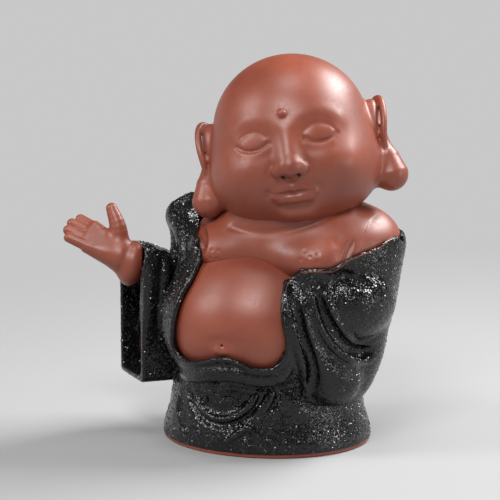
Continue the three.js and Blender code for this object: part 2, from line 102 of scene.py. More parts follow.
def ball(centre, radii, turn=0.0, lean=0.0):
    """An egg, turned about Z and leaned about Y."""
    ct, st = cos_sin(turn)
    cl, sl = cos_sin(lean)
    rx, ry, rz = radii

    def distance(x, y, z):
        u, v, w = x - centre[0], y - centre[1], z - centre[2]
        u, v = u * ct + v * st, v * ct - u * st
        u, w = u * cl - w * sl, u * sl + w * cl
        k0 = np.sqrt((u / rx) ** 2 + (v / ry) ** 2 + (w / rz) ** 2)
        k1 = np.sqrt((u / rx**2) ** 2 + (v / ry**2) ** 2 + (w / rz**2) ** 2) + 1e-9
        return k0 * (k0 - 1.0) / k1

    reach = max(radii) if turn or lean else np.array(radii, float)
    return Shape(distance, np.array(centre) - reach, np.array(centre) + reach)


def way(points, steps=4):
    """A smooth line through the points, with any radius column carried along."""
    p = np.array(points, float)
    if len(p) < 3:
        return p
    p = np.vstack([2 * p[0] - p[1], p, 2 * p[-1] - p[-2]])
    out = []
    for a, b, c, d in zip(p[:-3], p[1:-2], p[2:-1], p[3:]):
        for t in np.arange(steps) / steps:
            out.append(0.5 * (2 * b + (c - a) * t + (2 * a - 5 * b + 4 * c - d) * t**2
                              + (3 * b - a - 3 * c + d) * t**3))
    return np.array(out + [p[-2]])


def near(x, y, z, low, high):
    """The part of an open grid, or of scattered points, that lies in a box."""
    if np.ndim(x) == 3:
        cut = tuple(slice(*np.searchsorted(np.ravel(a), [lo, hi]))
                    for a, lo, hi in zip((x, y, z), low, high))
        if any(c.start >= c.stop for c in cut):
            return None
        return cut, (x[cut[0]], y[:, cut[1]], z[:, :, cut[2]])
    cut = np.ones(len(x), bool)
    for a, lo, hi in zip((x, y, z), low, high):
        cut &= (a > lo) & (a < hi)
    return (cut, (x[cut], y[cut], z[cut])) if cut.any() else None


def rope(points, bent=True, pad=8.0, few=4):
    """Round links of x, y, z and radius, taken a few at a time and only within pad of them."""
    p = way(points) if bent else np.array(points, float)

    def distance(x, y, z):
        out = np.full(np.broadcast_shapes(np.shape(x), np.shape(y), np.shape(z)), FAR)
        for start in range(0, len(p) - 1, few):
            link = p[start:start + few + 1]
            wide = link[:, 3].max() + pad
            part = near(x, y, z, link[:, :3].min(0) - wide, link[:, :3].max(0) + wide)
            if part is None:
                continue
            cut, (u, v, w) = part
            best = out[cut]
            for a, b in zip(link[:-1], link[1:]):
                e = b[:3] - a[:3]
                u0, u1, u2 = u - a[0], v - a[1], w - a[2]
                t = np.clip((u0 * e[0] + u1 * e[1] + u2 * e[2]) / (e @ e + 1e-12), 0.0, 1.0)
                d = np.sqrt((u0 - t * e[0]) ** 2 + (u1 - t * e[1]) ** 2 + (u2 - t * e[2]) ** 2)
                best = np.minimum(best, d - (a[3] + (b[3] - a[3]) * t))
            out[cut] = best
        return out

    r = p[:, 3:4]
    return Shape(distance, (p[:, :3] - r).min(0), (p[:, :3] + r).max(0))


def slab(centre, half, rounding, turn):
    """A round-cornered box turned about Z."""
    ct, st = cos_sin(turn)

    def distance(x, y, z):
        u, v = x - centre[0], y - centre[1]
        q0 = np.abs(u * ct + v * st) - half[0] + rounding
        q1 = np.abs(v * ct - u * st) - half[1] + rounding
        q2 = np.abs(z - centre[2]) - half[2] + rounding
        out = np.sqrt(np.maximum(q0, 0) ** 2 + np.maximum(q1, 0) ** 2 + np.maximum(q2, 0) ** 2)
        return out + np.minimum(np.maximum(np.maximum(q0, q1), q2), 0) - rounding

    reach = np.array([math.hypot(half[0], half[1])] * 2 + [half[2]])
    return Shape(distance, np.array(centre) - reach, np.array(centre) + reach)


def stack(rings):
    """Oval rings on top of one another: z, half width, half depth, x, y."""
    t = np.array(rings, float)

    def distance(x, y, z):
        zc = np.clip(z, t[0, 0], t[-1, 0])
        rx, ry, cx, cy = (np.interp(zc, t[:, 0], t[:, i]) for i in (1, 2, 3, 4))
        d = (np.sqrt(((x - cx) / rx) ** 2 + ((y - cy) / ry) ** 2) - 1) * np.minimum(rx, ry)
        dz = np.maximum(t[0, 0] - z, z - t[-1, 0]) + 0 * d
        corner = np.sqrt(np.maximum(d, 0) ** 2 + np.maximum(dz, 0) ** 2)
        return np.where((d > 0) & (dz > 0), corner, np.maximum(d, dz))

    r = t[:, 1:3]
    low = np.append((t[:, 3:5] - r).min(0), t[0, 0])
    high = np.append((t[:, 3:5] + r).max(0), t[-1, 0])
    return Shape(distance, low, high)


def beyond(point, normal, everywhere=200):
    """Everything past a plane, on the side its normal points to."""
    n = np.array(normal, float) / np.linalg.norm(normal)

    def distance(x, y, z):
        return (point[0] - x) * n[0] + (point[1] - y) * n[1] + (point[2] - z) * n[2]

    return Shape(distance, [-everywhere] * 3, [everywhere] * 3)


def window(outline, back, fine=0.2, border=6):
    """An opening drawn in the camera's view, in millimetres across and up,
    that goes in as far as y = back. fine is the grid it is worked out on."""
    p = np.array(outline, float)
    low, high = p.min(0) - border, p.max(0) + border
    u, v = (np.arange(lo, hi + fine, fine) for lo, hi in zip(low, high))
    u, v = u[:, None], v[None, :]
    best, odd = np.full((u.size, v.size), np.inf), np.zeros((u.size, v.size), bool)
    for a, b in zip(p, np.roll(p, -1, 0)):
        e = b - a
        t = np.clip(((u - a[0]) * e[0] + (v - a[1]) * e[1]) / (e @ e + 1e-12), 0, 1)
        best = np.minimum(best, (u - a[0] - t * e[0]) ** 2 + (v - a[1] - t * e[1]) ** 2)
        rise = e[1] if e[1] else 1e-9
        odd ^= ((a[1] > v) != (b[1] > v)) & (u < e[0] * (v - a[1]) / rise + a[0])
    table = np.sqrt(best) * np.where(odd, -1, 1)

    def distance(x, y, z):
        x, y, z = x - EYE[0], y - EYE[1], z - EYE[2]
        far = -(x * BACK[0] + y * BACK[1] + z * BACK[2]) / REACH
        across = (x * ACROSS[0] + y * ACROSS[1]) / far
        upward = (x * UPWARD[0] + y * UPWARD[1] + z * UPWARD[2]) / far
        i = np.clip((across - low[0]) / fine, 0, u.size - 1.01)
        j = np.clip((upward - low[1]) / fine, 0, v.size - 1.01)
        i0, j0 = i.astype(int), j.astype(int)
        i, j = i - i0, j - j0
        flat = ((table[i0, j0] * (1 - i) + table[i0 + 1, j0] * i) * (1 - j)
                + (table[i0, j0 + 1] * (1 - i) + table[i0 + 1, j0 + 1] * i) * j)
        return np.maximum(flat, y + EYE[1] - back)

    return Shape(distance, [-60, -60, 0], [60, back, 120])


def swelled(rows, by, low, high):
    """A whole form used as one shape, grown by a distance."""
    return Shape(lambda x, y, z: sample(rows, x, y, z) - by, low, high)


def soft_min(a, b, k):
    """The smaller distance, rounded over where the two differ by less than k."""
    if k <= 0:
        return np.minimum(a, b)
    h = np.maximum(k - np.abs(a - b), 0) / k
    return np.minimum(a, b) - h * h * k * 0.25


def work(d, row, x, y, z):
    """One row of a form: add or cut a shape, or raise or press a line."""
    what, k, shape = row[:3]
    v = shape.distance(x, y, z)
    if what == "add":
        return soft_min(d, v, k)
    if what == "cut":
        return -soft_min(-d, v, k)
    wide = row[3]
    bump = k * np.exp(-(np.maximum(v, 0) / wide) ** 2)
    return d - bump if what == "raise" else d + bump


def margin(row, widths=2.6, beside=4.0):
    """How far outside its box a row still counts: a line by its width, a shape by its softness."""
    return widths * row[3] if len(row) > 3 else row[1] + beside


def sample(rows, x, y, z):
    """Field at scattered points or on an open grid."""
    d = np.full(np.broadcast_shapes(np.shape(x), np.shape(y), np.shape(z)), FAR, np.float32)
    for row in rows:
        part = near(x, y, z, row[2].low - margin(row), row[2].high + margin(row))
        if part is not None:
            d[part[0]] = work(d[part[0]], row, *part[1])
    return d


def slope(rows, p, e=0.05):
    """Value and gradient at points."""
    d = sample(rows, *p.T)
    g = np.stack([sample(rows, *(p + e * np.eye(3)[i]).T) - sample(rows, *(p - e * np.eye(3)[i]).T)
                  for i in range(3)], 1) / (2 * e)
    return d, g


def settle(rows, p, times=12, limit=1.5, flattest=0.04):
    """Points moved along the gradient onto the surface, by no more than limit at a time."""
    p = np.array(p, float)
    for _ in range(times):
        d, g = slope(rows, p)
        move = d[:, None] * g / np.maximum((g * g).sum(1), flattest)[:, None]
        size = np.linalg.norm(move, axis=1, keepdims=True)
        p -= move * np.minimum(1.0, limit / np.maximum(size, 1e-9))
    return p


def seen(rows, points, halvings=9):
    """Points drawn in the camera's view, in millimetres across and up, carried back onto the form."""
    p = np.array(points, float)
    ray = (p[:, :1] * ACROSS + p[:, 1:2] * UPWARD) / REACH - BACK
    far = np.arange(BEFORE, BEHIND, 1.0)
    places = (EYE[:, None, None] + ray.T[:, :, None] * far).reshape(3, -1)
    value = sample(rows, *places).reshape(len(p), -1)
    inside = value < 0
    hit = np.where(inside.any(1), inside.argmax(1), value.argmin(1))
    front, deep = far[np.maximum(hit - 1, 0)], far[hit]
    for _ in range(halvings):
        middle = (front + deep) / 2
        filled = sample(rows, *(EYE[:, None] + ray.T * middle)) < 0
        front, deep = np.where(filled, front, middle), np.where(filled, middle, deep)
    return EYE + ray * deep[:, None]


def line_on(rows, points, bent=True):
    """A line laid onto the form so far. Points of two numbers are in the camera's view,
    points of three in space."""
    p = way(points) if bent else np.array(points, float)
    p = settle(rows, seen(rows, p) if p.shape[1] == 2 else p[:, :3])
    if len(p) == 1:
        p = np.vstack([p, p + 1e-3])
    return p


def thread(p, **more):
    """A rope without thickness through the points."""
    return rope(np.hstack([p, np.zeros((len(p), 1))]), bent=False, **more)


def laid(rows, points, radius, proud, side, smoothings=3, fading=9, buried=0.4):
    """A round roll or groove along a line on the form. It fades out at both ends,
    where it is buried a little."""
    p = line_on(rows, points)
    normal = slope(rows, p)[1]
    for _ in range(smoothings):
        normal[1:-1] = (normal[:-2] + 2 * normal[1:-1] + normal[2:]) / 4
        p[1:-1] = (p[:-2] + 2 * p[1:-1] + p[2:]) / 4
    normal /= np.maximum(np.linalg.norm(normal, axis=1, keepdims=True), 1e-6)
    t = np.linspace(0, 1, len(p))
    fade = np.clip(np.minimum(t, 1 - t) * len(p) / fading, 0, 1)
    fade = fade * fade * (3 - 2 * fade)
    p = p - side * normal * (radius - proud * fade + buried * (1 - fade))[:, None]
    return rope(np.hstack([p, np.full((len(p), 1), radius)]), bent=False, pad=5.0)


BEAD_BLEND = 0.25


def form(*rows, base=None):
    """A form of rows in order. Drawn lines lie on base, or without one on the rows before them."""
    made = []
    for what, k, thing, *rest in rows:
        under = made if base is None else base
        if what in ("raise", "press"):
            p = line_on(under, thing, bent=len(thing) > 2)
            made.append((what, k, thread(p, pad=3 * rest[0]), *rest))
        elif what in ("roll", "groove"):
            made.append(({"roll": "add", "groove": "cut"}[what], k,
                         laid(under, thing, *rest, 1 if what == "roll" else -1)))
        elif what == "bead":
            made.append(("add", BEAD_BLEND, ball(settle(under, [thing])[0], [k] * 3)))
        else:
            made.append((what, k, thing, *rest))
    return made


# skinning
CORNERS = np.array([(i, j, k) for i in (0, 1) for j in (0, 1) for k in (0, 1)])
EDGES = [(a, b) for a in range(8) for b in range(a, 8) if abs(CORNERS[a] - CORNERS[b]).sum() == 1]
SHUT = 0.05                                  # the least distance on the sides of a grid, mm


def skin(rows, low, high, step):
    """Closed quads around a form: one point in each cell the surface crosses."""
    axes = [np.arange(lo, hi + step, step) for lo, hi in zip(low, high)]
    value = sample(rows, axes[0][:, None, None], axes[1][None, :, None], axes[2][None, None, :])
    for axis in range(3):
        edge = [slice(None)] * 3
        for end in (0, -1):
            edge[axis] = end
            value[tuple(edge)] = np.maximum(value[tuple(edge)], SHUT)
    inside = value < 0
    n = np.array(value.shape) - 1
    votes = sum(inside[i:i + n[0], j:j + n[1], k:k + n[2]].astype(np.int8) for i, j, k in CORNERS)
    cells = np.argwhere((votes > 0) & (votes < 8))
    name = np.full(n, -1)
    name[tuple(cells.T)] = np.arange(len(cells))
    at_corner = np.stack([value[tuple((cells + c).T)] for c in CORNERS], 1)
    total, hits = np.zeros((len(cells), 3)), np.zeros((len(cells), 1))
    for a, b in EDGES:
        fa, fb = at_corner[:, a], at_corner[:, b]
        cross = (fa < 0) != (fb < 0)
        t = np.where(cross, fa / np.where(cross, fa - fb, 1), 0)[:, None]
        total += np.where(cross[:, None], CORNERS[a] + (CORNERS[b] - CORNERS[a]) * t, 0)
        hits += cross[:, None]
    points = np.array(low) + (cells + total / hits) * step
    quads = []
    for axis in range(3):
        u, v = (axis + 1) % 3, (axis + 2) % 3
        one = np.eye(3, dtype=int)
        first = inside[tuple(slice(0, -1) if i == axis else slice(1, -1) for i in range(3))]
        second = inside[tuple(slice(1, None) if i == axis else slice(1, -1) for i in range(3))]
        base = np.argwhere(first != second)
        base[:, u] += 1
        base[:, v] += 1
        out = first[first != second]
        ring = [name[tuple((base - du * one[u] - dv * one[v]).T)]
                for du, dv in ((1, 1), (0, 1), (0, 0), (1, 0))]
        quad = np.stack(ring, 1)
        quad[~out] = quad[~out][:, ::-1]
        quads.append(quad)
    return points, np.concatenate(quads)


def mesh_from(name, points, faces):
    """A smooth mesh of points in millimetres and faces with the same number of corners."""
    mesh = bpy.data.meshes.new(name)
    mesh.vertices.add(len(points))
    mesh.vertices.foreach_set("co", np.asarray(points * MM, np.float32).ravel())
    size = faces.shape[1]
    mesh.loops.add(faces.size)
    mesh.loops.foreach_set("vertex_index", faces.astype(np.int32).ravel())
    mesh.polygons.add(len(faces))
    mesh.polygons.foreach_set("loop_start", np.arange(0, faces.size, size, dtype=np.int32))
    mesh.update(calc_edges=True)
    mesh.validate()
    mesh.polygons.foreach_set("use_smooth", np.full(len(mesh.polygons), True))
    return mesh


def mark(mesh, name, values):
    layer = mesh.attributes.new(name, "FLOAT", "POINT")
    layer.data.foreach_set("value", np.asarray(values, np.float32))


class Wiring:
    """A small hand for wiring nodes."""

    def __init__(self, tree):
        self.tree = tree

    def plug(self, socket, value):
        """Gives a socket a number or colour, or another node's output."""
        if hasattr(value, "is_output"):
            self.tree.links.new(value, socket)
        else:
            socket.default_value = value

    def add(self, kind, *first, operation=None, **sockets):
        """A node with its first sockets filled in order, and others by name."""
        node = self.tree.nodes.new(kind)
        if operation:
            node.operation = operation
        for socket, value in zip(node.inputs, first):
            self.plug(socket, value)
        for key, value in sockets.items():
            self.plug(node.inputs[key.replace("_", " ")], value)
        return node

    def maths(self, operation, a, b):
        return self.add("ShaderNodeMath", a, b, operation=operation).outputs[0]

    def vectors(self, operation, *first, **sockets):
        return self.add("ShaderNodeVectorMath", *first, operation=operation, **sockets).outputs[0]


# raised specks of glaze
SPECK_RADIUS, SPECK_SUNK = 0.37, 0.24        # mm
SPECK_SIZES = 0.72, 1.2                      # times the radius
SPECK_SEED = 7
FULL_TURN = 6.28


def speck_tree():
    """Small faceted grains scattered over a surface, most where its attribute grit is one."""
    tree = bpy.data.node_groups.new("raised specks", "GeometryNodeTree")
    for label, kind in (("Geometry", "Geometry"), ("Specks per square metre", "Float"),
                        ("Speck radius", "Float"), ("Sunk", "Float"), ("Seed", "Int"),
                        ("Finish", "Material")):
        tree.interface.new_socket(label, in_out="INPUT", socket_type="NodeSocket" + kind)
    tree.interface.new_socket("Geometry", in_out="OUTPUT", socket_type="NodeSocketGeometry")
    w = Wiring(tree)
    given = w.add("NodeGroupInput").outputs

    def drawn(data_type, first, low, high):
        """A random number or turn for each speck, between two sockets' values."""
        node = w.add("FunctionNodeRandomValue")
        node.data_type = data_type
        w.plug(node.inputs["Seed"], given["Seed"])
        w.plug(node.inputs[first], low)
        w.plug(node.inputs[first + 1], high)
        return node

    grit = w.add("GeometryNodeInputNamedAttribute", Name="grit")
    grit.data_type = "FLOAT"
    crowd = w.maths("MULTIPLY", given["Specks per square metre"], grit.outputs["Attribute"])
    spread = w.add("GeometryNodeDistributePointsOnFaces", Mesh=given["Geometry"], Density=crowd,
                   Seed=given["Seed"])
    sink = w.vectors("SCALE", spread.outputs["Normal"], Scale=w.maths("MULTIPLY", given["Sunk"], -1.0))
    sunk = w.add("GeometryNodeSetPosition", Geometry=spread.outputs["Points"], Offset=sink)
    speck = w.add("GeometryNodeMeshIcoSphere", Radius=given["Speck radius"], Subdivisions=1)
    flat = w.add("GeometryNodeSetShadeSmooth", Geometry=speck.outputs["Mesh"], Shade_Smooth=False)
    placed = w.add("GeometryNodeInstanceOnPoints", Points=sunk.outputs["Geometry"], Instance=flat.outputs[0],
                   Rotation=drawn("FLOAT_VECTOR", 0, (0, 0, 0), [FULL_TURN] * 3).outputs[0],
                   Scale=drawn("FLOAT", 2, *SPECK_SIZES).outputs[1])
    real = w.add("GeometryNodeRealizeInstances", Geometry=placed.outputs["Instances"])
    done = w.add("GeometryNodeSetMaterial", Geometry=real.outputs["Geometry"], Material=given["Finish"])
    w.add("NodeGroupOutput", Geometry=done.outputs["Geometry"])
    return tree


def specks(name, mesh, crowd):
    """The specks of one piece as a plain mesh."""
    under = bpy.data.objects.new(name + "_under_specks", mesh)
    bpy.context.collection.objects.link(under)
    modifier = under.modifiers.new("raised specks", "NODES")
    modifier.node_group = SPECKS
    named = {item.name: item.identifier for item in SPECKS.interface.items_tree if item.in_out == "INPUT"}
    for label, value in (("Specks per square metre", crowd * 1e6), ("Speck radius", SPECK_RADIUS * MM),
                         ("Sunk", SPECK_SUNK * MM), ("Seed", SPECK_SEED), ("Finish", GLINTS)):
        modifier[named[label]] = value
    seen_now = bpy.context.evaluated_depsgraph_get()
    made = bpy.data.meshes.new_from_object(under.evaluated_get(seen_now), depsgraph=seen_now)
    under.modifiers.remove(modifier)
    bpy.data.objects.remove(under)
    return made


SPECKS = speck_tree()


# pieces
HOLLOW_CLEAR, LINE_CLEAR = 1.5, 1.3          # how far specks keep from the hollow and from lines, mm
UPRIGHT, FACING_UP = 0.75, 1.2               # share of specks on upright clay, and what facing up adds


def present(name, mesh, material, slot, *nodes, body="figure"):
    """Puts a finished mesh in the scene in place of its CAD nodes."""
    piece = bpy.data.objects.new(name, mesh)
    mesh.materials.clear()
    mesh.materials.append(material)
    bpy.context.collection.objects.link(piece)
    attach(piece, body)
    if nodes:
        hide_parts(*nodes)
    return piece


def moulded(name, rows, low, high, material, slot, *nodes, worn=(), place=None, step=STEP, hidden=None,
            specked=0):
    """Skins a form. worn lists lines without specks, and how far their
    glaze is rubbed through, as line, width and strength. No specks grow in
    the form hidden. specked counts the raised specks on a square
    millimetre, fewer of them on undersides."""
    points, quads = skin(rows, low, high, step)
    points = settle(rows, points, times=2, limit=0.5 * step)
    wear = np.zeros(len(points))
    grit = np.ones(len(points))
    if hidden is not None:
        grit = (sample(hidden, *points.T) > HOLLOW_CLEAR).astype(float)
    for line, wide, strength in worn:
        away = thread(line_on(rows, line)).distance(*points.T)
        wear = np.maximum(wear, strength * np.exp(-(away / wide) ** 2))
        grit *= 1 - np.exp(-(away / max(LINE_CLEAR, wide)) ** 4)
    if place is not None:
        points = points @ np.array(place.to_3x3()).T + np.array(place.translation)
    mesh = mesh_from(name, points, quads)
    mark(mesh, "wear", wear)
    if specked:
        normal = np.empty(3 * len(points))
        mesh.vertex_normals.foreach_get("vector", normal)
        mark(mesh, "grit", grit * np.clip(UPRIGHT + FACING_UP * normal[2::3], 0, 1))
        present(name + "_specks", specks(name, mesh, specked), GLINTS, slot)
    return present(name, mesh, material, slot, *nodes)


# materials
def srgb(*tone):
    """A colour written as three numbers up to 255."""
    shares = (part / 255 for part in tone)
    return tuple(c / 12.92 if c <= 0.04045 else ((c + 0.055) / 1.055) ** 2.4 for c in shares) + (1,)


CLAY_TONE = srgb(140, 69, 48)
CLAY_DEEP = srgb(121, 56, 40)
GLAZE_TONE = srgb(14, 13, 14)
WORN_TONE = srgb(112, 62, 48)
BRASS_TONE = srgb(196, 156, 92)


class Finish(Wiring):
    """A material. The scale of its textures counts waves or cells to a metre."""

    def __init__(self, name):
        self.material = bpy.data.materials.new(name)
        self.material.use_nodes = True
        super().__init__(self.material.node_tree)
        self.shader = self.tree.nodes["Principled BSDF"]

    def place(self):
        return self.add("ShaderNodeTexCoord").outputs["Object"]

    def noise(self, scale, detail=3.0, roughness=0.55):
        return self.add("ShaderNodeTexNoise", Vector=self.place(), Scale=scale, Detail=detail,
                        Roughness=roughness).outputs["Fac"]

    def cells(self, scale):
        return self.add("ShaderNodeTexVoronoi", Vector=self.place(), Scale=scale, Randomness=1.0).outputs

    def stretch(self, value, low, high, to_low=0.0, to_high=1.0):
        return self.add("ShaderNodeMapRange", Value=value, From_Min=low, From_Max=high, To_Min=to_low,
                        To_Max=to_high).outputs["Result"]

    def mix(self, factor, a, b):
        node = self.add("ShaderNodeMix")
        node.data_type = "RGBA"
        for socket, value in ((node.inputs["Factor"], factor), (node.inputs[6], a), (node.inputs[7], b)):
            self.plug(socket, value)
        return node.outputs[2]

    def bump(self, height, strength, depth):
        return self.add("ShaderNodeBump", Height=height, Strength=strength, Distance=depth).outputs["Normal"]

    def feed(self, **sockets):
        for key, value in sockets.items():
            self.plug(self.shader.inputs[key.replace("_", " ")], value)


def red_clay():
    n = Finish("burnished red clay")
    cloud = n.stretch(n.noise(60.0), 0.35, 0.7)
    grain = n.noise(900.0, detail=2.0)
    n.feed(Base_Color=n.mix(cloud, CLAY_TONE, CLAY_DEEP), Specular_IOR_Level=0.6,
           Roughness=n.stretch(grain, 0.3, 0.7, to_low=0.38, to_high=0.46),
           Normal=n.bump(n.noise(2600.0, detail=2.0), strength=0.12, depth=0.0001))
    return n.material


def black_glaze():
    """Black glaze with pits and tilted crystals, and the clay through it where wear is one."""
    n = Finish("pitted black glaze")
    pits = n.stretch(n.cells(1500.0)["Distance"], 0.05, 0.6, to_low=1.0, to_high=0.0)
    worn = n.add("ShaderNodeAttribute")
    worn.attribute_name = "wear"
    ragged = n.maths("ADD", worn.outputs["Fac"], n.maths("MULTIPLY", n.noise(900.0), 0.6))
    tilt = n.vectors("SUBTRACT", n.cells(2400.0)["Color"], (0.5, 0.5, 0.5))
    tilt = n.vectors("MULTIPLY", tilt, n.vectors("ABSOLUTE", tilt))
    cloud = n.noise(150.0, detail=2.0)
    n.feed(Base_Color=n.mix(n.stretch(ragged, 0.75, 1.15), GLAZE_TONE, WORN_TONE), Specular_IOR_Level=0.42,
           Roughness=n.stretch(cloud, 0.35, 0.7, to_low=0.12, to_high=0.2),
           Normal=n.vectors("NORMALIZE", n.vectors("ADD", n.bump(pits, strength=0.5, depth=0.00012), tilt)))
    return n.material


def speck_glaze():
    """The glassy top of a raised speck."""
    n = Finish("glassy specks")
    n.feed(Base_Color=GLAZE_TONE, Specular_IOR_Level=1.0,
           Roughness=n.stretch(n.noise(300.0), 0.35, 0.7, to_low=0.12, to_high=0.24))
    return n.material


def brass():
    n = Finish("spun brass")
    n.feed(Base_Color=BRASS_TONE, Metallic=1.0,
           Roughness=n.stretch(n.noise(400.0), 0.3, 0.7, to_low=0.26, to_high=0.4))
    return n.material


CLAY, GLAZE, GLINTS, BRASS = red_clay(), black_glaze(), speck_glaze(), brass()


# belly, with the navel's folds and hole
BELLY = form(
    ("add", 0, ball([0.3, -9, 37.5], [26.5, 25.5, 22])),
    ("add", 5, ball([1, -6, 48], [23, 20, 12])),
    ("press", 0.7, [[-1.5, -34.2, 35.2], [1, -34.4, 35.8], [3.4, -34.2, 35.2]], 1.8),
    ("raise", 0.5, [[-0.6, -34.2, 32.6], [0.8, -34, 32.2], [2.2, -34, 32.6]], 1),
    ("cut", 0.5, rope([[1, -31, 34.4, 0.3], [1, -36, 34.4, 0.35]], bent=False)),
)
BELLY_BOX = [[-31, -36, 14], [29, 18, 61]]

# chest: neck, breasts and bare left shoulder
ARM_LINE = [[32.4, 4.3], [31.5, 2.8], [30.6, 0.9], [29.7, -1.2], [28.7, -3.4], [27.8, -5.5]]
ARMPIT = [[26.9, 2.4], [28.4, 0.9], [28.1, -1.5]]
CHEST = form(
    ("add", 0, ball([5, -2, 60], [26, 18, 13])),
    ("add", 5, ball([-8, -13, 58.5], [10, 9, 6.5])),
    ("add", 9, ball([25.2, 3.5, 61], [16, 14.5, 12])),
    ("add", 5, ball([20, -12.5, 58.5], [11.5, 10, 7])),
    ("add", 6, ball([-11, 3, 60], [11, 11, 10])),
    ("add", 5, ball([8.5, -2, 70], [19, 17, 6])),
    ("add", 6, ball([23.5, -4.5, 60.5], [12.5, 11, 9.5])),
    ("press", 0.5, ARMPIT, 2.2),
    ("groove", 0.6, ARM_LINE, 1, 0.7),
    ("groove", 0.6, [[-15.2, 9.5], [-15, 4.6], [-15, 0.6], [-15.2, -2.6]], 2.4, 3.8),
    ("press", 0.35, [[-3.4, -17.5, 66.3], [2.9, -18.5, 65.7], [9.3, -18.5, 65.8], [16.8, -17.4, 67.4],
                     [23, -13.4, 69.3], [28, -6.5, 71]], 1),
    # small pricks on the breasts
    *[("press", 0.45, [p], 0.42) for p in (
        [20.8, -22, 59.3], [21.7, -21.3, 61.9], [23.4, -21.5, 60.3], [25.4, -20.4, 61.1],
        [22.8, -21.6, 58.8], [25.3, -20.7, 58.8], [-7.9, -21.8, 60], [-5.7, -21.7, 59.9],
        [-8.2, -22, 57.6], [-6.3, -21.8, 57.5])],
)
CHEST_BOX = [[-30, -26, 42], [44, 19, 79]]

# the hollow that the smoke rises through
CHAMBER = stack([
    [-3, 27, 23.7, 0, 0], [4, 27, 23.7, 0, 0], [14, 24, 21.4, 0, 0], [24, 24, 22.5, 0, -3],
    [38, 24.4, 22, 0, -4.5], [50, 20, 17, 1, -3], [58, 13.5, 10, 3, -2], [66, 8, 7, 6, -2],
    [80, 7, 7, 8.5, -2]])
HOLLOW = [("add", 0, CHAMBER)]

BELLY_FOOT, ROBE_FOOT = 23.7, 14.6           # heights where the belly and the robe end, mm


def cut_below(softness, z):
    return "cut", softness, beyond([0, 0, z], [0, 0, -1])


def room_for(rows, box, softness=0.2, gap=0.05):
    """Cuts what another form takes up, a hair wider."""
    return "cut", softness, swelled(rows, gap, *box)


BELLY_SHOWN = BELLY + [cut_below(0.4, BELLY_FOOT)]
moulded("belly", BELLY_SHOWN + [("cut", 0.3, CHAMBER)], *BELLY_BOX, CLAY, "red_clay", "belly")
moulded("chest", CHEST + [("cut", 0.3, CHAMBER)], *CHEST_BOX, CLAY, "red_clay", "chest")


# skirt, with the U folds of the apron and the folds over the hem
SKIRT = form(
    ("add", 0, stack([[1.2, 32.15, 28.85, 0, 0], [4, 31.9, 28.7, 0, 0], [10, 30, 27.4, 0, 0],
                      [18, 28.8, 26.2, 0, 0], [21.5, 28.4, 26, 0, 0]])),
    ("roll", 0.6, [[-20.5, -40.4], [-21.1, -43.4], [-21.7, -46.5], [-22, -49.5], [-21.7, -52.3],
                   [-20.8, -54.7]], 1.2, 0.9),
    ("roll", 0.8, [[-19, -40.4], [-19, -44], [-18.3, -47.4], [-16.8, -49.8], [-14.4, -51.7]], 1.5, 0.7),
    ("groove", 0.9, [[-18.3, -40.4], [-18, -44.3], [-17.1, -47.4], [-15.3, -50.2], [-12.2, -52.3],
                     [-8, -53.2], [-3.7, -52.3], [-0.3, -49.8], [2.1, -47.1], [4, -44.3],
                     [5.2, -41]], 1.7, 1),
    ("roll", 0.5, [[-17.1, -39.8], [-16.8, -44], [-15.9, -46.8], [-14.4, -48.9], [-12.5, -50.5],
                   [-10.4, -51.4], [-8, -51.7], [-5.5, -51.1], [-3.4, -50.2], [-1.2, -48.6],
                   [0.6, -46.5], [2.1, -44], [3.7, -40.7]], 1.3, 1.2),
    ("groove", 0.9, [[-15, -41.6], [-14.7, -44.6], [-13.1, -47.1], [-11, -48.6], [-8.3, -49.2],
                     [-5.5, -48.6], [-3.1, -46.8], [-0.9, -44.3], [0.3, -41.6]], 1.7, 0.6),
    ("groove", 1, [[8.9, -41], [8.3, -44], [6.7, -47.1], [4.6, -49.8], [1.8, -52.6]], 1.8, 0.9),
    ("roll", 0.6, [[8, -39.8], [7, -43.4], [5.8, -45.9], [4.3, -48.3], [2.4, -50.5],
                   [0, -53.2]], 1.5, 1.2),
    ("roll", 1, [[10.1, -39.8], [11, -43.4], [12.5, -46.2], [14.4, -48.3], [16.8, -50.2],
                   [20.8, -51.7]], 2, 1),
    ("roll", 0.5, [[-23.5, -56.3], [-22.3, -55], [-20.8, -55], [-19.3, -56], [-17.4, -57.8]], 1.2, 0.8),
    ("roll", 0.5, [[-9.8, -59.6], [-7, -58.7], [-4.6, -56.9], [-2.4, -55.4], [-0.6, -54.4], [0.9, -55.7],
                   [2.1, -57.5], [3.4, -59.9]], 1.3, 1),
    ("groove", 0.6, [[-2.1, -58.4], [-0.3, -56.3], [1.5, -58.4]], 1.6, 1),
    room_for(BELLY, BELLY_BOX),
    ("cut", 0.2, CHAMBER),
)
SKIRT_BOX = [[-35, -34, 0.4], [35, 31, 22.5]]
moulded("skirt", SKIRT, *SKIRT_BOX, GLAZE, "black_glaze", "skirt", "front_apron", hidden=HOLLOW,
        specked=1.1)


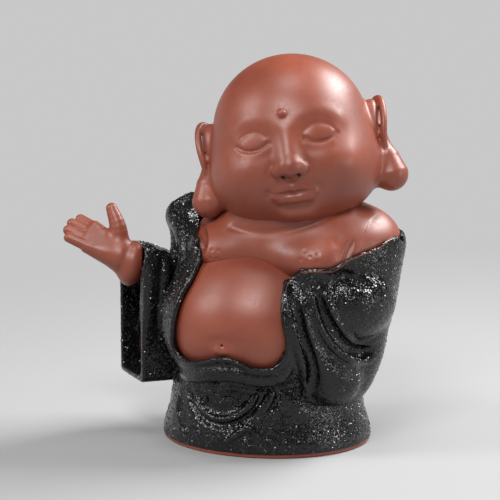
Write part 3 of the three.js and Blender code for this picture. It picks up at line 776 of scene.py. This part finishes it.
# hand: the palm's four rays, the fingers, the thumb and the wrist, cut off inside the cuff
WRIST = [-43, -14, 55]
CUFF_LEFT = 32.6                             # the cuff's inside, mm left of the camera's aim
HAND = form(
    ("add", 0, rope([[*WRIST, 4.2], [-51.3, -14.2, 62.4, 2.2]], bent=False)),
    ("add", 1, rope([[*WRIST, 4.2], [-52.2, -15.8, 61, 2.2]], bent=False)),
    ("add", 1, rope([[*WRIST, 4.2], [-52.2, -17.6, 59.4, 2.1]], bent=False)),
    ("add", 1, rope([[-42.5, -15, 54, 4.2], [-51.3, -19, 57.4, 2.1]], bent=False)),
    ("add", 0.5, rope([[-50, -14.2, 61.6, 2.05], [-56.5, -13.6, 64.6, 1.6]], bent=False)),
    ("add", 0.3, rope([[-51, -15.8, 60.4, 2.05], [-58.05, -16.2, 63.6, 1.6]], bent=False)),
    ("add", 0.3, rope([[-51, -17.6, 58.8, 1.95], [-58.05, -18.7, 61.9, 1.55]], bent=False)),
    ("add", 0.3, rope([[-50, -19, 57.2, 1.85], [-56.8, -20.7, 60, 1.45]], bent=False)),
    ("add", 2, rope([[-43.2, -13.5, 56.5, 3.4], [-43.6, -13.5, 63, 2.6], [-46, -13, 68.6, 1.75]])),
    ("add", 1.5, rope([[*WRIST, 4.4], [-40.5, -12.5, 52, 5]], bent=False)),
    ("add", 1, ball([-39.6, -12.2, 51.9], [4.4, 6, 6.9], turn=25, lean=14)),
    ("cut", 0.3, beyond(np.array(AIM) / MM - CUFF_LEFT * ACROSS, ACROSS)),
)
HAND_BOX = [[-61, -24, 41], [-27, -2, 72]]
moulded("right_hand", HAND, *HAND_BOX, CLAY, "red_clay", "right_hand", step=STEP * 0.7)


# robe
# the robe's edge round the bare skin, from the collar on, in the camera's view
RIM = [[-25.1, 13.8], [-23.5, 11.6], [-21.4, 10.1], [-19.3, 8.6], [-17.7, 6.4], [-16.5, 4.3], [-15.9, 2.1],
       [-15.6, 0], [-15.9, -2.4], [-16.8, -4.9], [-18, -7.6], [-19.6, -10.4], [-21.1, -13.1],
       [-22.3, -15.9], [-23.2, -19], [-23.9, -22], [-24.2, -25.4], [-24.2, -28.4], [-23.5, -30.9],
       [-22, -33], [-19.6, -34.6], [-16.8, -34.9], [-14.1, -34.6], [-11, -33.9], [-7.3, -33.9],
       [-3.7, -34.9], [-0.6, -36.4], [2.4, -37.3], [5.5, -37.3], [8.3, -36.4], [10.4, -34.6],
       [11.6, -32.1], [11.9, -29.4], [11.6, -26.3], [10.7, -22.9], [10.4, -19.3], [10.4, -15.6],
       [11, -12.5], [12.5, -9.5], [15.6, -6.7]]
SHOULDER_EDGE = [[15.6, -6.7], [19, -6.7], [22.6, -6.7], [25.7, -6.4], [27.8, -4.9], [30, -3.4],
                 [32.7, -2.1], [35.8, -0.9], [38.8, 0.3], [41.6, 2.1], [43.4, 3.7], [44.6, 5.2]]
OPENING = RIM[7:] + SHOULDER_EDGE[1:] + [[45.9, 3.4], [47.7, 1.2], [50.8, 0], [50.8, 30.6], [-15.6, 30.6]]

CLOTH = form(
    # back and sides, over the belly and the chest
    ("add", 0, ball([0, 1, 38], [30, 24, 26])),
    ("add", 8, ball([3, 5, 56], [29, 20, 19])),
    ("add", 4, stack([[8, 29.2, 26.6, 0, 0], [16, 29.2, 26.6, 0, 0], [34, 29, 24, 0, 0],
                      [42, 27, 21, 0, 0]])),
    ("add", 2, swelled(BELLY, 2, *BELLY_BOX)),
    ("add", 2, swelled(CHEST, 1.2, *CHEST_BOX)),
    ("cut", 1.5, beyond([0, 10, 68], [0.09, 0, 1])),
    # left sleeve: the arm, the hanging cloth and the bag of cloth at the elbow
    ("add", 2, rope([[28, 5, 58, 12.3], [28.2, 3, 48, 12.2]], bent=False)),
    ("add", 5, rope([[27, 0, 38, 12], [26.5, 0, 30, 11], [25.5, 0, 23.5, 9.6]])),
    ("add", 3, rope([[22.5, -16, 52, 6], [24.5, -17, 44, 7.5], [26.5, -14.5, 34, 7.6],
                     [26.5, -11.5, 22.5, 8.4]])),
    ("add", 5, ball([28.5, -1, 54], [12.6, 12.4, 10])),
    ("add", 0.8, ball([30, -4.5, 45.5], [12.4, 15, 12.8])),
    ("roll", 2, [[16.5, -9.2], [16.2, -15.3], [17.1, -21.4], [18.7, -27.5], [20.5, -32.4], [22.3, -36.7],
                   [23.9, -41]], 3.6, 1.5),
    ("groove", 2.4, [[18, -12.8], [19, -17.7], [20.2, -22], [22, -26.3], [24.8, -30.6],
                     [28.1, -34.3], [31.5, -37.3]], 4, 1.5),
    ("groove", 0.6, [[19.6, -9.8], [20.5, -14.1], [21.4, -17.7], [23.2, -21.7], [25.4, -25.1],
                     [28.1, -28.4], [31.2, -30.6], [34.6, -31.5], [37.6, -30.9], [40.1, -28.1]], 2.2, 2.2),
    ("roll", 0.6, [[18.3, -10.1], [18.7, -13.1], [19.3, -15.9], [19.9, -18.7], [20.8, -21.7],
                   [22, -24.5], [23.5, -27.2], [25.4, -29.7], [27.8, -31.8], [30.6, -33.6],
                   [33.9, -34.6], [37, -33.9], [39.4, -31.8]], 1.2, 1.1),
    ("groove", 1.2, [[25.7, -6.7], [28.4, -7.6], [31.2, -8.9], [33.9, -10.1], [36.4, -11.3],
                     [38.5, -12.8]], 1.7, 1.5),
    # right side: the standing collar, the lapel down from it and their folds
    ("add", 2, rope([[-10, 14, 64, 5], [-20, 11, 67, 5], [-27.5, 5.5, 67.3, 5],
                     [-28.4, -0.5, 66, 5]], bent=False)),
    ("add", 3, rope([[-27.5, 2, 63, 5.5], [-24.5, 0, 54, 7.5], [-23, -5, 46, 7],
                     [-20.5, -10, 38, 7]], bent=False)),
    ("add", 2, rope([[-27.4, -4, 65, 3], [-22, -8, 60.5, 4.5], [-18, -13, 55, 4.2],
                     [-16.6, -19.5, 50, 3.4]])),
    ("groove", 0.8, [[-20.2, 4.3], [-19.9, 0.6], [-20.2, -3.1], [-21.1, -6.7], [-22, -10.4]], 1.4, 1),
    ("roll", 0.6, [[-21.4, 5.5], [-21.1, 1.2], [-21.1, -2.8], [-21.7, -6.4], [-22.3, -10.4],
                   [-23.2, -14.7]], 1.1, 0.9),
    ("groove", 1, [[-22.9, 3.1], [-22.6, -0.6], [-22.9, -4.3], [-23.5, -8.6], [-24.2, -12.8]], 1.6, 0.8),
)
ROBE = CLOTH + [
    ("cut", 0.5, window(OPENING, back=5)),
    ("cut", 0.6, rope([[-26.5, -3, 75, 6.5], [-22.3, -6.5, 73.4, 6.4], [-18.4, -8.8, 71.6, 6.2],
                       [-14.9, -10.8, 69.2, 6], [-12.2, -12.8, 66.6, 5.8], [-10.4, -15, 64, 5.6]])),
    ("cut", 1, ball([-11, -2, 75], [15, 11, 12.5])),
]
SLEEVE_EDGE = line_on(CLOTH, SHOULDER_EDGE)
LAPEL_EDGE = line_on(CLOTH, RIM)
WAIST_LINE = [[-22.9, -34.3], [-19, -38.2], [-13.5, -38.5], [-6.7, -38.5], [0, -39.8], [6.1, -39.8],
              [11.6, -36.4]]
# waist roll, the edges' beads and the left lapel's fold
ROBE += form(
    ("roll", 0.4, [[-22.9, -34.3], [-21.1, -36.7], [-19, -38.2], [-16.2, -38.5], [-13.5, -38.2],
                   [-10.4, -37.9], [-6.7, -37.9], [-3.1, -38.5], [0, -39.4], [3.1, -39.8], [6.1, -39.8],
                   [9.2, -38.5], [11.6, -36.1], [13.1, -32.4]], 3, 2),
    ("groove", 0.8, [[-22.6, -38.5], [-19.6, -41], [-15.3, -41.6], [-10.7, -41.3], [-6.1, -41.3],
                     [-1.5, -41.9], [3.1, -42.2], [7.6, -41.9], [11, -40.7]], 2.4, 2.2),
    ("roll", 0.4, RIM, 0.85, 0.35),
    ("roll", 0.4, SHOULDER_EDGE, 0.7, 0.25),
    ("roll", 0.7, [[12.2, -9.8], [12.2, -14.1], [12.5, -17.7], [12.8, -21.4], [13.5, -25.1], [14.4, -28.7],
                   [15.6, -32.4], [16.5, -36.1], [17.1, -39.8], [17.4, -42.8], [17.1, -45.3]], 1.9, 1.6),
    ("groove", 0.6, [[14.1, -12.2], [14.4, -17.7], [15, -22], [15.9, -25.7], [17.1, -29.4],
                     [18.3, -33], [19.3, -36.7], [19.6, -41], [19, -44.6]], 1.8, 1.9),
    ("roll", 0.4, [[20.2, -6.7], [18.7, -8], [17.7, -9.5], [17.4, -11.3], [17.7, -13.1], [18.3, -15],
                   [19, -16.2]], 0.9, 0.8),
    base=CLOTH) + [
    room_for(BELLY_SHOWN, BELLY_BOX),
    room_for(CHEST, CHEST_BOX),
    room_for(SKIRT, SKIRT_BOX),
    cut_below(0.6, ROBE_FOOT),
    ("cut", 0.3, CHAMBER),
]
moulded("robe", ROBE, [-37, -38, 13], [44, 28, 75], GLAZE, "black_glaze",
        "robe_back", "left_sleeve", "left_lapel", "right_lapel", "right_collar", "waist_roll",
        worn=[(SLEEVE_EDGE, 0.4, 0.95), (LAPEL_EDGE, 0.3, 0.5), (WAIST_LINE, 3.2, 0)],
        hidden=HOLLOW, step=STEP * 1.1, specked=0.8)

# right sleeve, with the deep open cuff
RIGHT_SLEEVE = form(
    ("add", 0, slab([-32.4, -4.2, 37], [12, 9.8, 20.5], rounding=1.8, turn=45)),
    ("add", 4, rope([[-30, -4, 47, 7], [-20, 2, 51, 8]], bent=False)),
    ("cut", 2, beyond([-33, -6, 56], [0.36, 0.3, 1])),
    ("roll", 1.5, [[-31.2, 0.6], [-30.6, -2.4], [-30.3, -6.1], [-30.3, -10.7], [-30.6, -15.3],
                   [-30.9, -20.8], [-31.2, -26.9]], 4.2, 2),
    ("roll", 0.5, [[-26, -0.6], [-25.7, -3.7], [-25.7, -7.6], [-26, -12.2], [-26.3, -17.1],
                   [-26.6, -22.6], [-26.9, -27.5]], 3, 1.8),
    ("groove", 0.8, [[-23.2, -1.8], [-23.2, -6.1], [-23.5, -10.7], [-23.9, -15.3], [-24.5, -20.8]], 2, 1.4),
    ("cut", 0.6, beyond([-47.6, -6, 0], [-0.646, -0.763, 0])),
    ("cut", 0.4, slab([-38.2, -10, 35.2], [7.5, 8, 16.8], rounding=2.4, turn=45)),
    ("roll", 0.4, [[-33.3, -6.1], [-33.3, -11.6], [-33.3, -16.5], [-33.3, -21.4], [-33.6, -25.7],
                   [-33.9, -29.4]], 0.8, 0.4),
    ("cut", 0.4, window([[-32.7, 3.1], [-32.1, -1.8], [-32.7, -4.9], [-33.6, -7.3], [-35.5, -9.8],
                         [-39.4, -11.6], [-45.9, -12.8], [-47.1, 4.3]], back=-9)),
    room_for(HAND, HAND_BOX),
    ("cut", 0.2, CHAMBER),
)
CUFF_EDGE = [[-33.3, -8], [-33.3, -11.6], [-33.3, -16.5], [-33.3, -21.4], [-33.6, -26.9], [-33.9, -30.6]]
moulded("right_sleeve", RIGHT_SLEEVE, [-50, -22, 14], [-10, 14, 70], GLAZE, "black_glaze", "right_sleeve",
        worn=[(CUFF_EDGE, 0.3, 0.75)], hidden=HOLLOW, specked=1.1)


# head
YAW, PITCH, ROLL = 19, 8, 9.5
HEAD_AT = (9.3, -2, 90.4)


def head_place():
    """Where the head sits: turned to its left, looking up and leaned, in degrees and millimetres."""
    (ca, sa), (cb, sb), (cc, sc) = (cos_sin(v) for v in (YAW, PITCH, ROLL))
    look = Vector((sa * cb, -ca * cb, sb))
    side = Vector((ca, sa, 0))
    rise = look.cross(side)
    across = side * cc + rise * sc
    upward = rise * cc - side * sc
    turned = Matrix((across, -look, upward)).transposed().to_4x4()
    turned.translation = HEAD_AT
    return turned


def pair(what, amount, line, wide):
    """A row and its mirror image on the other side of the face."""
    return [(what, amount, side, wide) for side in (line, [[-p[0], *p[1:]] for p in line])]


def ear(s):
    """One ear, with s -1 for the right and 1 for the left: its flap, lobe, hollow, rim, fold and pit."""
    helix = [[24, 5.8, 6.5], [25.6, 5.8, 9], [27, 3.8, 9.2], [27.7, 0.8, 7], [27.7, -1.6, 3],
             [27.1, -2.4, -1.5], [26.6, -1.6, -5]]
    return [
        ("add", 2, ball([s * 24.4, 3, 1.5], [3.1, 5.6, 8])),
        ("add", 3, rope([[s * 24.6, 2.5, -3, 2.8], [s * 26.6, 1, -9, 4.1], [s * 27.4, 0.5, -13.4, 5.1]],
                          bent=False)),
        ("cut", 1, ball([s * 27.6, -0.4, 2.8], [1.7, 2.7, 4.6])),
        ("add", 0.6, rope([[s * x, y, z, 1] for x, y, z in helix])),
        ("add", 0.6, rope([[s * 25.9, -1.9, -1.2, 0.9], [s * 26.1, 0.2, 1.2, 0.8],
                           [s * 26.2, 1.6, 4.4, 0.7]])),
        ("cut", 0.5, rope([[s * 29, -1.4, 0.6, 0.7], [s * 24, 0, 0.6, 0.7]], bent=False)),
    ]


HEAD = form(
    # skull, cheeks and jaw, eye sockets and brows
    ("add", 0, ball([0, 1, 4], [23.2, 24.5, 22.5])),
    ("add", 8, ball([0, -2, -8.5], [25.2, 21.5, 17])),
    *pair("press", 1.2, [[7, -24, 1.2], [12, -22, 1]], 5),
    *pair("raise", 0.45, [[4, -24, 5.2], [8, -23.6, 7.4], [12, -21, 7.4], [16, -19, 5]], 2.6),
    # nose and nostrils
    ("add", 4, rope([[0, -21.6, 2.5, 1.9], [0, -23.2, -2, 2.1], [0, -24.6, -6.8, 2.9]])),
    ("add", 1.5, ball([0, -24.8, -7.2], [3.1, 2.9, 2.7])),
    *[("add", 1.6, ball([s * 3.3, -22.8, -8], [2.3, 2.6, 2])) for s in (-1, 1)],
    *[("cut", 1, rope([[s * 1.9, -25, -10.2, 0.7], [s * 2.5, -23.6, -9.2, 0.4]], bent=False))
      for s in (-1, 1)],
    *pair("press", 0.5, [[4.9, -24, -6.4], [5.9, -23.4, -8], [5.5, -23.4, -9.4]], 1),
    # closed lids
    *pair("raise", 1.1, [[7.4, -23, 0.9], [10, -22, 1.4], [12.6, -20, 0.9]], 2.7),
    *pair("press", 0.9, [[5.4, -24, 0.4], [7.6, -23, -0.9], [10.2, -22, -1.3], [12.8, -21, -0.8],
                         [15, -20, 0.7]], 0.6),
    *pair("raise", 0.25, [[6, -24, -1.4], [8, -23, -2.2], [10.2, -22, -2.5], [13, -21, -1.9]], 1.2),
    *pair("press", 0.25, [[5.8, -24, 2.4], [8, -23, 3.8], [10.4, -23, 4.2], [13, -21, 3.4],
                          [14.8, -21, 2]], 0.6),
    # cheekbones, lips and chin
    *pair("raise", 1.4, [[12, -20, -7], [15, -18, -8]], 6),
    ("press", 0.35, [[0, -24, -11.4], [0, -24, -12.8]], 1.1),
    *pair("raise", 1, [[6.2, -22, -15], [3.6, -23, -13.9], [1.2, -23.4, -13.2], [0.4, -23.4, -13.5]], 1.2),
    ("raise", 1.7, [[-3.8, -22, -16.8], [0, -23, -17.6], [3.8, -22, -16.8]], 1.7),
    ("press", 1.2, [[-7, -22, -14.4], [-4.4, -23, -15], [-1.6, -23.4, -15.2], [0, -23.5, -15.5],
                    [1.6, -23.4, -15.2], [4.4, -23, -15], [7, -22, -14.4]], 0.6),
    *pair("press", 0.6, [[7.3, -22, -14], [7.6, -22, -14.8]], 0.9),
    ("press", 0.8, [[-3.2, -21, -19.6], [0, -21.5, -20], [3.2, -21, -19.6]], 1.5),
    ("raise", 1.6, [[-2, -18, -22.6], [2, -18, -22.6]], 3.6),
    ("bead", 1.3, [0, -24, 8.5]),
    *ear(-1), *ear(1),
)
HEAD_HOLLOW = ball([0, 0.5, 0], [19.5, 19.5, 21])
moulded("head", HEAD + [("cut", 0.3, HEAD_HOLLOW)], [-36, -30, -32], [36, 28, 29], CLAY, "red_clay",
        "head", "right_ear", "left_ear", "forehead_bead", place=head_place(), step=STEP * 1.03)


# plate, dish and stand
HEM_X, HEM_Y = 31.8, 28.5                    # half the width and depth of the plate
SHARP = 35                                   # degrees from which an edge isn't smoothed


def lathe(name, profile, sides, material, slot, node, body, flat=1.0):
    """A turned piece: radius and height round the closed outline, from axis to axis."""
    turn = np.linspace(0, 2 * np.pi, sides, endpoint=False)
    rings = [np.stack([r * np.cos(turn), flat * r * np.sin(turn), np.full(sides, z)], 1)
             for r, z in profile[1:-1]]
    points = np.vstack(rings + [[[0, 0, profile[0][1]]], [[0, 0, profile[-1][1]]]])
    first, last = len(points) - 2, len(points) - 1
    i, j = np.arange(sides), (np.arange(sides) + 1) % sides
    faces = []
    for k in range(len(rings) - 1):
        a, b = k * sides, (k + 1) * sides
        faces += np.stack([a + i, a + j, b + j], 1).tolist() + np.stack([a + i, b + j, b + i], 1).tolist()
    top = (len(rings) - 1) * sides
    faces += [[first, y, x] for x, y in zip(i, j)] + [[last, top + x, top + y] for x, y in zip(i, j)]
    mesh = mesh_from(name, points, np.array(faces))
    mesh.set_sharp_from_angle(angle=math.radians(SHARP))
    return present(name, mesh, material, slot, node, body=body)


lathe("base_plate", [[0, 0], [HEM_X - 0.4, 0], [HEM_X, 0.4], [HEM_X, 1.2], [26.4, 1.2], [26.4, 2.6],
                     [25.8, 3.2], [19.1, 3.2], [19.1, 2.2], [0, 2.2]],
      128, CLAY, "red_clay", "base_plate", "base", flat=HEM_Y / HEM_X)
lathe("ash_dish", [[0, 2.2], [16.6, 2.2], [18, 3.6], [18.6, 9.2], [17.4, 9.2], [16.8, 4.4], [16.2, 3.4],
                   [7.4, 3.4], [7.4, 4], [6.6, 4], [6.6, 3.4], [0, 3.4]],
      96, BRASS, "brass", "ash_dish", "dish")
lathe("cone_holder", [[0, 3.4], [6.2, 3.4], [6.2, 4.1], [2.9, 4.6], [2.4, 6.2], [4.6, 6.9], [4.6, 7.8],
                      [0, 7.8]],
      64, BRASS, "brass", "cone_holder", "holder")


# floor and light
PALE, FLOOR = 0.58, 0.36                     # the shown background, and the floor under the object
LIT_TO, PALE_FROM = 0.1, 0.34                # metres from the middle
FLOOR_RINGS = (1, 0), (2.6, 0), (2.9, 0.1), (3, 0.6)
FLOOR_SIDES = 96
LIT_AT = 0, 0, 0.06
ROOM_LIGHT = 0.1
# azimuth and elevation, metres away, metres wide and tall, watts
LAMPS = {
    "key box": (-50, 32, 0.75, 0.2, 0.34, 2.6),
    "front box": (12, 45, 0.72, 0.26, 0.18, 3.2),
    "top box": (10, 84, 0.7, 0.22, 0.22, 1.4),
    "back box": (139, 42, 0.72, 0.5, 0.24, 8.8),
    "right box": (92, 4, 0.8, 0.12, 0.38, 1.2),
}


def background_shown(n, plain, shown):
    """The shown shader to the camera, mirrors and glass, the plain one to everything else."""
    ray = n.add("ShaderNodeLightPath").outputs
    seen_by = ray["Is Camera Ray"]
    for other in ("Is Glossy Ray", "Is Transmission Ray"):
        seen_by = n.maths("MAXIMUM", seen_by, ray[other])
    return n.add("ShaderNodeMixShader", seen_by, plain, shown).outputs[0]


def pale_floor():
    """Plain and lit near the object, where its shadow falls, and evenly pale farther out."""
    n = Finish("pale floor")
    n.feed(Base_Color=(FLOOR, FLOOR, FLOOR, 1), Roughness=0.9)
    lit = n.shader.outputs[0]
    glow = n.add("ShaderNodeEmission", Color=(PALE, PALE, PALE, 1), Strength=1.0).outputs[0]
    far = n.add("ShaderNodeVectorMath", n.place(), operation="LENGTH").outputs["Value"]
    shown = n.add("ShaderNodeMixShader", n.stretch(far, LIT_TO, PALE_FROM), lit,
                  background_shown(n, lit, glow))
    n.plug(n.tree.nodes["Material Output"].inputs[0], shown.outputs[0])
    return n.material


def set_floor():
    """A round floor that curves up into a low wall."""
    n = FLOOR_SIDES
    turn = np.linspace(0, 2 * np.pi, n, endpoint=False)
    points = [[r * math.cos(t), r * math.sin(t), z] for r, z in FLOOR_RINGS for t in turn]
    quads = [(k * n + n + i, k * n + n + (i + 1) % n, k * n + (i + 1) % n, k * n + i)
             for k in range(len(FLOOR_RINGS) - 1) for i in range(n)]
    mesh = bpy.data.meshes.new("floor")
    mesh.from_pydata(points, [], [tuple(range(n))] + quads)
    floor = bpy.data.objects.new("floor", mesh)
    mesh.materials.append(pale_floor())
    bpy.context.collection.objects.link(floor)


def set_lamps():
    for name, (azimuth, elevation, away, wide, tall, watts) in LAMPS.items():
        lamp = bpy.data.lights.new(name, "AREA")
        lamp.shape, lamp.size, lamp.size_y, lamp.energy = "RECTANGLE", wide, tall, watts
        back = towards(azimuth, elevation)
        box = bpy.data.objects.new(name, lamp)
        box.location = Vector(LIT_AT) + back * away
        box.rotation_euler = back.to_track_quat("Z", "Y").to_euler()
        bpy.context.collection.objects.link(box)
    world = bpy.data.worlds.new("soft room light")
    bpy.context.scene.world = world
    world.use_nodes = True
    room = world.node_tree.nodes["Background"]
    room.inputs["Color"].default_value = (1, 1, 1, 1)
    room.inputs["Strength"].default_value = ROOM_LIGHT


set_floor()
set_lamps()
bpy.context.scene.view_settings.view_transform = "Standard"
